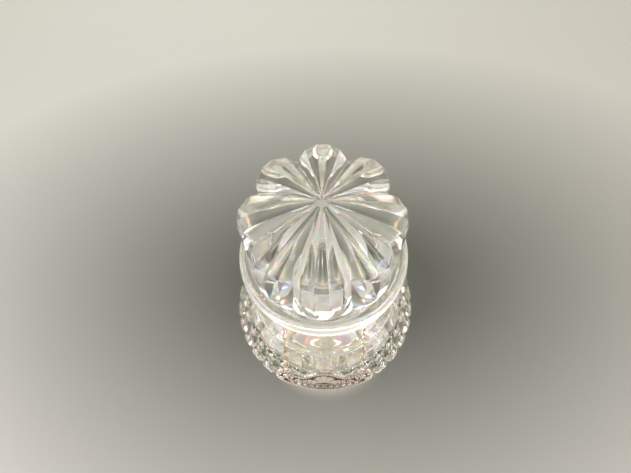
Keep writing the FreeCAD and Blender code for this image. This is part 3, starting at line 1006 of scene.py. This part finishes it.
@dataclass
class NeckChain:
    """The fine wire chain: a loop round the neck and a leg down to each jump ring.

    Its wire is drawn a little thicker than the model's, 0.74 mm across and not 0.60 mm.
    """

    finish: bpy.types.Material
    strung: tuple[bpy.types.NodeTree, dict[str, str]]
    wire: float = 0.37
    end_radius: float = 0.86
    half_length: float = 1.567
    loop_links: int = 25
    leg_links: int = 20
    twist_links: int = 6
    full_twist: float = 45.0
    end_steps: int = 7
    wire_steps: int = 8
    front_reach: float = 19.2
    tilt_up: float = 0.8
    crease: float = 60.0

    def link(self) -> bpy.types.Object:
        """Bends one link of wire, lying along X and flat in the XY plane.

        Returns:
            The link's object.
        """
        straight = self.half_length - self.end_radius
        path = []
        for side in (1, -1):
            for k in range(self.end_steps + 1):
                swing = math.radians(-90 * side + 180 * k / self.end_steps)
                out = Vector((math.cos(swing), math.sin(swing), 0))
                path.append((Vector((side * straight, 0, 0)) + out * self.end_radius, out))
        rings = []
        for centre, out in path:
            ring = []
            for n in range(self.wire_steps):
                turn = math.tau * n / self.wire_steps
                ring.append((centre + (out * math.cos(turn) + Vector((0, 0, math.sin(turn)))) * self.wire) * MM)
            rings.append(ring + ring[:1])
        shell = Shell()
        for a, b in zip(rings, rings[1:] + rings[:1]):
            shell.strip(a, b)
        mesh = shell.build("wire_link")
        weld(mesh, turn_out=True)
        mesh.polygons.foreach_set("use_smooth", [True] * len(mesh.polygons))
        return add_object("wire_link", mesh)

    def centres(self) -> list[Vector]:
        """The links' middles from the left-hand ring round the neck to the right, from the model.

        Returns:
            The middles in metres.
        """

        def middle(node: str) -> Vector:
            """Middle of one node's box.

            Args:
                node: the node's name.

            Returns:
                The point in metres.
            """
            low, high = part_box(node)
            return (low + high) / 2

        left = [middle(f"chain_left_{k + 1:02d}") for k in range(self.leg_links)]
        right = [middle(f"chain_right_{k + 1:02d}") for k in range(self.leg_links)]
        low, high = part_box("chain_loop")
        height = (left[-1].z + right[-1].z) / 2
        radius = math.hypot(left[-1].x, left[-1].y)
        first = math.atan2(left[-1].y, -left[-1].x)
        loop = []
        for k in range(self.loop_links):
            swing = first + (math.pi - 2 * first) * (k + 1) / (self.loop_links + 1)
            share = min(1.0, (k + 1) / 3, (self.loop_links - k) / 3)
            level = height + ((low.z + high.z) / 2 - height) * share
            loop.append(Vector((-radius * math.cos(swing), radius * math.sin(swing), level)))
        return left + loop + right[::-1]

    def turns(self, centres: list[Vector]) -> list[Quaternion]:
        """How each link is turned: along the chain, a quarter turn from its neighbours.

        Args:
            centres: the links' middles.

        Returns:
            One rotation for each link.
        """
        turns = []
        count = len(centres)
        for k, centre in enumerate(centres):
            along = (centres[min(k + 1, count - 1)] - centres[max(k - 1, 0)]).normalized()
            share = max(0.0, min(1.0, -centre.y / (self.front_reach * MM)))
            radial = Vector((centre.x, centre.y, 0)).normalized()
            outward = radial * (1 - share) + Vector((0, -1, 0)) * share + Vector((0, 0, self.tilt_up))
            outward = (outward - along * outward.dot(along)).normalized()
            from_end = min(k, count - 1 - k)
            eased = min(1.0, from_end / self.twist_links)
            eased = eased * eased * (3 - 2 * eased)
            roll = Quaternion(along, math.radians(90.0 * (1 + from_end % 2) + self.full_twist * eased))
            across = roll @ outward
            basis = Matrix((along, across, along.cross(across))).transposed()
            turns.append(basis.to_quaternion())
        return turns

    def string(self, name: str, part: slice, body: Body, nodes: list[str]) -> bpy.types.Object:
        """Sets one run of the chain's links.

        Args:
            name: the piece's name.
            part: which links.
            body: the body that they ride on.
            nodes: the nodes that they replace.

        Returns:
            The finished piece.
        """
        centres = self.centres()
        turns = self.turns(centres)[part]
        mesh = bpy.data.meshes.new(name)
        mesh.from_pydata([tuple(c) for c in centres[part]], [], [])
        marks = mesh.attributes.new(TURN_MARK, "QUATERNION", "POINT")
        marks.data.foreach_set("value", [v for q in turns for v in q])
        thing = add_object(name, mesh)
        pattern_link = self.link()
        run_tree(thing, self.strung, {"Link": pattern_link, "Finish": self.finish, "Matt Finish": self.finish})
        plain_mesh(thing, self.crease)
        bpy.data.objects.remove(pattern_link)
        finish_piece(thing, body, nodes)
        return thing

    def build(self) -> None:
        """Strings the loop and the two legs, and dresses the jump rings."""
        legs = self.leg_links
        self.string("neck_loop", slice(legs, legs + self.loop_links), Body.NECK_CHAIN, ["chain_loop"])
        left = [f"chain_left_{k + 1:02d}" for k in range(legs)]
        right = [f"chain_right_{k + 1:02d}" for k in range(legs)]
        self.string("left_leg", slice(0, legs), Body.CHAIN_LEGS, left)
        self.string("right_leg", slice(legs + self.loop_links, None), Body.CHAIN_LEGS, right)
        for node in ("ring_left", "ring_right"):
            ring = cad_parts[node]
            ring.data.materials.clear()
            ring.data.materials.append(self.finish)


# ---- the ticket -----------------------------------------------------------------------------


@dataclass
class BottleTicket:
    """The cast silver ticket: scrolled rim, a shell at its crest and a row of lozenges."""

    finish: bpy.types.Material
    half_width: float = 24.5
    half_thickness: float = 0.5
    bend_radius: float = 72.0
    lean: float = 25.5
    ring_spacing: float = 36.4
    lug_radius: float = 1.4
    lug_wire: float = 0.42
    hole_radius: float = 1.0
    hole_drop: float = 2.3
    columns: int = 260
    rows: int = 64
    rim_width: float = 1.7
    rim_rise: float = 0.38
    beads: int = 11
    bead_pitch: float = 3.2
    reed_pitch: float = 1.5
    fan_drop: float = 6.3
    fan_reach: float = 6.2
    fan_half_angle: float = 1.75
    fan_rise: float = 0.36
    scroll_rise: float = 0.34
    row_level: float = -9.2
    row_bow: float = 0.0042
    plate_tone: float = 0.55
    lug_tone: float = 0.6
    crease: float = 60.0
    lug_level: Vector = field(default_factory=Vector)

    def outline(self) -> np.ndarray:
        """The right half of the outline, top to bottom, with the lug holes at height 0.

        Returns:
            (x, z) rows in mm.
        """
        half = [
            (0.0, 1.9),
            (3.6, 1.3),
            (7.4, -0.9),
            (11.6, -2.8),
            (15.6, -1.7),
            (19.6, -0.4),
            (23.2, -1.7),
            (self.half_width, -5.2),
            (22.6, -8.8),
            (17.0, -11.0),
            (9.0, -12.7),
            (0.0, -13.3),
        ]
        mirrored = [(-half[1][0], half[1][1])] + half + [(-half[-2][0], half[-2][1])]
        return np.array(smooth_rows(mirrored, 12)[12:-12])

    def scrolls(self) -> list[tuple[np.ndarray, np.ndarray]]:
        """The tendrils and leaves of the right half.

        Returns:
            The points and half widths of each stroke, in mm.
        """
        strokes = []
        for (cx, cz), size, turns, start, hand in (
            ((12.6, -6.4), 2.7, 1.6, 150, 1),
            ((18.9, -4.6), 2.3, 1.5, 200, -1),
            ((7.2, -5.2), 1.9, 1.3, 20, -1),
            ((21.4, -6.9), 1.2, 1.2, 60, 1),
        ):
            t = np.linspace(0.0, 1.0, 90)
            swing = np.radians(start) + hand * math.tau * turns * t
            radius = size * (1.0 - 0.86 * t)
            points = np.stack([cx + radius * np.cos(swing), cz + radius * 0.82 * np.sin(swing)], axis=1)
            strokes.append((points, 0.42 - 0.16 * t + 0.34 * np.exp(-(((t - 1.0) / 0.1) ** 2))))
        for (x0, z0), (x1, z1), width in (
            ((9.3, -3.6), (11.2, -2.9), 0.75),
            ((15.4, -3.4), (16.6, -5.6), 0.7),
            ((15.9, -7.9), (18.2, -7.4), 0.7),
            ((4.4, -6.4), (6.2, -7.3), 0.6),
            ((9.2, -7.0), (10.2, -5.6), 0.55),
            ((21.3, -3.1), (22.8, -4.4), 0.6),
        ):
            t = np.linspace(0.0, 1.0, 24)
            points = np.stack([x0 + (x1 - x0) * t, z0 + (z1 - z0) * t], axis=1)
            strokes.append((points, width * np.sin(math.pi * (0.08 + 0.84 * t))))
        return strokes

    def relief(self, x: np.ndarray, z: np.ndarray, edge: np.ndarray, along: np.ndarray) -> np.ndarray:
        """How far the front stands above the flat field.

        Args:
            x: places across the ticket, mm.
            z: heights on the ticket, mm.
            edge: distances from the outline, mm.
            along: places along the outline, mm.

        Returns:
            The rise at each point, mm.
        """
        side = np.abs(x)
        rise = 0.025 * np.sin(x * 9.1 + 2 * np.sin(z * 5.3)) * np.sin(z * 8.3 + np.sin(x * 4.1))
        for points, widths in self.scrolls():
            gaps = np.hypot(side[..., None] - points[:, 0], z[..., None] - points[:, 1]) / widths
            round_top = np.sqrt(np.clip(1.0 - gaps.min(axis=-1) ** 2, 0.0, None))
            rise = np.maximum(rise, self.scroll_rise * round_top)
        reach, swing = np.hypot(x, z + self.fan_drop), np.arctan2(x, z + self.fan_drop)
        swell = np.clip(np.sin(math.pi * reach / self.fan_reach), 0.0, 1.0) ** 0.5
        petals = np.abs(np.cos(swing * 4.5)) ** 0.6 * swell
        in_fan = (reach < self.fan_reach) & (np.abs(swing) < self.fan_half_angle)
        rise = np.maximum(rise, np.where(in_fan, self.fan_rise * petals, 0.0))
        row = self.row_level + self.row_bow * x * x
        across = x - self.bead_pitch * np.round(x / self.bead_pitch)
        nearest = np.abs(np.round(x / self.bead_pitch)) <= (self.beads - 1) / 2
        lozenge = np.abs(across) / 1.1 + np.abs(z - row) / 0.8
        band = (np.abs(z - row) < 1.3) & (side < 18.2)
        rise = np.where(band, 0.05, rise)
        rise = np.where(band & nearest & (lozenge < 1.0), 0.28, rise)
        rise = np.where(band & nearest & (lozenge < 0.62), -0.14, rise)
        lines = np.abs(np.abs(z - row) - 1.45)
        rise = np.where((lines < 0.2) & (side < 18.6), np.maximum(rise, 0.22), rise)
        bulge = np.sqrt(np.clip(1.0 - ((edge - self.rim_width / 2) / (self.rim_width / 2)) ** 2, 0.0, None))
        reeds = 0.62 + 0.38 * np.cos(along * math.tau / self.reed_pitch)
        return np.where(edge < self.rim_width, self.rim_rise * bulge * reeds, rise)

    def place(self, x: float, z: float, off: float) -> Vector:
        """Bends, leans and hangs one point.

        Args:
            x: place across the ticket, mm.
            z: height above the lug holes, mm.
            off: distance in front of the plate's middle, mm.

        Returns:
            The point in metres.
        """
        sag = self.bend_radius - math.sqrt(self.bend_radius**2 - (self.ring_spacing / 2) ** 2)
        y = self.bend_radius - math.sqrt((self.bend_radius + off) ** 2 - x * x) - sag
        lean = math.radians(self.lean)
        turned = Vector((x, y * math.cos(lean) + z * math.sin(lean), z * math.cos(lean) - y * math.sin(lean)))
        return self.lug_level + turned * MM

    def find_rings(self) -> None:
        """Finds the level of the lug holes from the jump rings that they hang on."""
        low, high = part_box("ring_right")
        lean = math.radians(self.lean)
        drop = Vector((0, -math.sin(lean), -math.cos(lean))) * self.hole_drop * MM
        self.lug_level = Vector((0, (low.y + high.y) / 2, (low.z + high.z) / 2)) + drop

    def plate(self, shell: Shell) -> list[float]:
        """Casts the plate.

        Args:
            shell: the mesh to add to.

        Returns:
            The relief at each of the shell's points.
        """
        half = self.outline()
        tip = int(np.argmax(half[:, 0]))
        widest = float(half[tip, 0])
        x = widest * np.sin(np.linspace(-math.pi / 2, math.pi / 2, self.columns) * 0.999)
        top = np.interp(np.abs(x), half[: tip + 1, 0], half[: tip + 1, 1])
        bottom = np.interp(np.abs(x), half[tip:, 0][::-1], half[tip:, 1][::-1])
        in_hole = np.abs(np.abs(x) - self.ring_spacing / 2) < self.hole_radius
        drop = np.sqrt(np.clip(self.hole_radius**2 - (np.abs(x) - self.ring_spacing / 2) ** 2, 0.0, None))
        top = np.where(in_hole, np.minimum(top, -drop), top)
        share = 0.5 - 0.5 * np.cos(np.linspace(0.0, math.pi, self.rows))
        share = 0.35 * share + 0.65 * np.linspace(0.0, 1.0, self.rows)
        grid_x = np.repeat(x[:, None], self.rows, axis=1)
        grid_z = bottom[:, None] + (top - bottom)[:, None] * share[None, :]
        length = np.concatenate([[0.0], np.cumsum(np.hypot(*np.diff(half, axis=0).T))])
        fine = np.linspace(0.0, length[-1], 900)
        ring = np.stack([np.interp(fine, length, half[:, 0]), np.interp(fine, length, half[:, 1])], axis=1)
        gaps = np.hypot(np.abs(grid_x)[..., None] - ring[:, 0], grid_z[..., None] - ring[:, 1])
        edge, along = gaps.min(axis=-1), fine[gaps.argmin(axis=-1)]
        rise = self.relief(grid_x, grid_z, edge, along)
        skin = []
        for c in range(self.columns):
            front = self.half_thickness + rise[c]
            skin.append([self.place(grid_x[c, r], grid_z[c, r], front[r]) for r in range(self.rows)])
        back = [
            [self.place(grid_x[c, r], grid_z[c, r], -self.half_thickness) for r in range(self.rows)]
            for c in range(self.columns)
        ]
        marks: list[float] = []
        tone = np.clip(rise / self.scroll_rise, 0.0, 1.0)
        for c in range(self.columns - 1):
            for r in range(self.rows - 1):
                shell.face([skin[c][r], skin[c + 1][r], skin[c + 1][r + 1], skin[c][r + 1]])
                marks += [tone[c, r], tone[c + 1, r], tone[c + 1, r + 1], tone[c, r + 1]]
        for c in range(self.columns - 1):
            shell.face([back[c][0], back[c][-1], back[c + 1][-1], back[c + 1][0]])
            for r in (0, self.rows - 1):
                shell.face([skin[c][r], back[c][r], back[c + 1][r], skin[c + 1][r]])
        for c in (0, self.columns - 1):
            shell.face([*skin[c], back[c][-1], back[c][0]])
        marks += [self.plate_tone] * (len(shell.points) - len(marks))
        return marks

    def lug(self, shell: Shell, side: int) -> None:
        """Forms one round lug.

        Args:
            shell: the mesh to add to.
            side: 1 for the right, -1 for the left.
        """
        around, section = 28, 12
        rings = []
        for k in range(around + 1):
            swing = math.tau * k / around
            ring = []
            for n in range(section + 1):
                turn = math.tau * n / section
                reach = self.lug_radius + self.lug_wire * math.cos(turn)
                x = side * self.ring_spacing / 2 + reach * math.cos(swing)
                ring.append(self.place(x, reach * math.sin(swing), self.lug_wire * math.sin(turn)))
            rings.append(ring)
        for a, b in zip(rings, rings[1:]):
            shell.strip(a, b)

    def build(self) -> bpy.types.Object:
        """Makes the ticket.

        Returns:
            The finished piece.
        """
        self.find_rings()
        shell = Shell()
        marks = self.plate(shell)
        for side in (-1, 1):
            self.lug(shell, side)
        marks += [self.lug_tone] * (len(shell.points) - len(marks))
        mesh = bpy.data.meshes.new("silver_ticket")
        mesh.from_pydata([tuple(p) for p in shell.points], [], shell.faces)
        tones = mesh.attributes.new(RELIEF_MARK, "FLOAT", "POINT")
        tones.data.foreach_set("value", marks)
        weld(mesh, turn_out=True)
        mesh.polygons.foreach_set("use_smooth", [True] * len(mesh.polygons))
        mesh.set_sharp_from_angle(angle=math.radians(self.crease))
        mesh.materials.append(self.finish)
        thing = add_object("silver_ticket", mesh)
        finish_piece(thing, Body.TICKET, ["ticket"])
        return thing


# ---- the studio -----------------------------------------------------------------------------


@dataclass(frozen=True)
class SoftBox:
    """One square lamp with a soft face."""

    name: str
    place: Place
    aim: Place
    size: float
    watts: float
    colour: Rgb = (1.0, 1.0, 1.0)

    def build(self) -> None:
        """Hangs the lamp."""
        lamp = bpy.data.lights.new(self.name, "AREA")
        lamp.shape, lamp.size = "SQUARE", self.size
        lamp.energy, lamp.color = self.watts, self.colour
        thing = bpy.data.objects.new(self.name, lamp)
        thing.location = self.place
        thing.rotation_euler = (Vector(self.aim) - Vector(self.place)).to_track_quat("-Z", "Y").to_euler()
        bpy.context.scene.collection.objects.link(thing)


@dataclass
class Studio:
    """The floor, the soft lamps, four small coloured ones, and the camera that looks steeply down."""

    floor_finish: bpy.types.Material
    floor_half: float = 1.6
    camera_place: Place = (0.00255, -0.075, 0.360)
    camera_pitch: float = 24.0
    camera_yaw: float = 1.68
    sensor_width: float = 36.0
    focal_share: float = 475 / 631
    boxes: tuple[SoftBox, ...] = (
        SoftBox("back_box", (-0.15, 0.75, 0.42), (0.0, 0.42, 0.0), 0.5, 1.3, (1.0, 0.99, 0.97)),
        SoftBox("left_box", (-0.56, -0.264, 0.24), (0.0, 0.0, 0.135), 0.40, 1.7, (0.93, 0.90, 1.0)),
        SoftBox("right_box", (0.52, -0.30, 0.23), (0.0, 0.0, 0.135), 0.28, 1.0, (0.93, 0.90, 1.0)),
        SoftBox("amber_right", (0.42, -0.10, 0.35), (0.0, 0.0, 0.2), 0.07, 0.16, (1.0, 0.52, 0.12)),
        SoftBox("blue_right", (0.40, -0.20, 0.36), (0.0, 0.0, 0.2), 0.07, 0.16, (0.28, 0.48, 1.0)),
        SoftBox("amber_left", (-0.42, -0.12, 0.36), (0.0, 0.0, 0.2), 0.07, 0.16, (1.0, 0.52, 0.12)),
        SoftBox("blue_left", (-0.40, 0.02, 0.34), (0.0, 0.0, 0.2), 0.07, 0.16, (0.28, 0.48, 1.0)),
        SoftBox("front_box", (-0.12, -0.62, 0.40), (-0.1, -0.3, 0.0), 0.4, 0.45, (1.0, 0.98, 0.95)),
    )

    def lay_floor(self) -> None:
        """Lays the floor under the foot."""
        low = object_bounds()[0]
        reach = self.floor_half
        shell, count = Shell(), 8
        ticks = [-reach + 2 * reach * k / count for k in range(count + 1)]
        for a, b in zip(ticks, ticks[1:]):
            shell.strip([Vector((x, a, low[2])) for x in ticks], [Vector((x, b, low[2])) for x in ticks])
        floor = add_object("floor", shell.build("floor"))
        floor.data.materials.append(self.floor_finish)
        floor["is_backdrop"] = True

    def light(self) -> None:
        """Sets the lamps and the dome, which is banded in height and dimmer towards -Y."""
        scene = bpy.context.scene
        world = bpy.data.worlds.new("studio")
        scene.world = world
        world.use_nodes = True
        world.node_tree.nodes.clear()
        bench = Bench(world.node_tree)
        way = bench.node("ShaderNodeTexCoord").outputs["Generated"]
        parts = bench.node("ShaderNodeSeparateXYZ", {"Vector": way}).outputs
        strength = bench.node(
            "ShaderNodeMapRange",
            {"Value": parts["Y"], "From Min": -0.95, "From Max": -0.25, "To Min": 0.40, "To Max": 1.18},
        ).outputs[0]
        glow = bench.ramp(
            parts["Z"],
            [
                (0.0, (0.66, 0.64, 0.59)),
                (0.14, (0.84, 0.81, 0.74)),
                (0.28, (1.85, 1.74, 1.54)),
                (0.46, (1.52, 1.43, 1.27)),
                (0.60, (0.30, 0.29, 0.26)),
                (1.0, (0.06, 0.06, 0.055)),
            ],
        )
        dome = bench.node("ShaderNodeBackground", {"Color": glow, "Strength": strength}).outputs[0]
        bench.node("ShaderNodeOutputWorld", {"Surface": dome})
        for box in self.boxes:
            box.build()

    def point_camera(self) -> None:
        """Sets the camera and the way that its picture is developed."""
        scene = bpy.context.scene
        lens = bpy.data.cameras.new("camera")
        lens.sensor_width = self.sensor_width
        lens.lens = self.sensor_width * self.focal_share
        lens.clip_start, lens.clip_end = 0.01, 20.0
        camera = bpy.data.objects.new("camera", lens)
        camera.location = self.camera_place
        pitch = Matrix.Rotation(math.radians(self.camera_pitch), 3, "X")
        yaw = Matrix.Rotation(math.radians(self.camera_yaw), 3, "Y")
        camera.rotation_euler = (pitch @ yaw).to_euler()
        scene.collection.objects.link(camera)
        scene.camera = camera
        scene.view_settings.view_transform = "Standard"
        scene.cycles.max_bounces = 28
        scene.cycles.transmission_bounces = 26
        scene.cycles.glossy_bounces = 8
        scene.cycles.transparent_max_bounces = 24
        scene.cycles.use_denoising = True

    def build(self) -> None:
        """Sets the whole studio."""
        self.lay_floor()
        self.light()
        self.point_camera()


def main() -> None:
    """Builds the sub-assemblies in order, then the studio."""
    logging.basicConfig(level=logging.INFO, format="%(name)s: %(message)s")
    crystal, ground = PolishedCrystal().build(), GroundCrystal().build()
    chain_silver = TonedSilver(
        "chain_silver", (1.0, 0.89, 0.74), (0.19, 0.12, 0.075), roughness=0.16, cloud_scale=1100.0
    ).build()
    ticket_silver = TonedSilver(
        "ticket_silver", (0.86, 0.755, 0.69), (0.09, 0.066, 0.052), hollow_attribute=RELIEF_MARK, roughness=0.26
    ).build()
    pattern = round_pattern()
    CutBottle(crystal, ground, pattern).build()
    CutStopper(crystal, ground, pattern).build()
    NeckChain(chain_silver, strung_links()).build()
    BottleTicket(ticket_silver).build()
    Studio(SageCloth().build()).build()
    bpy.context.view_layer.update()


if __name__ == "__main__":
    main()
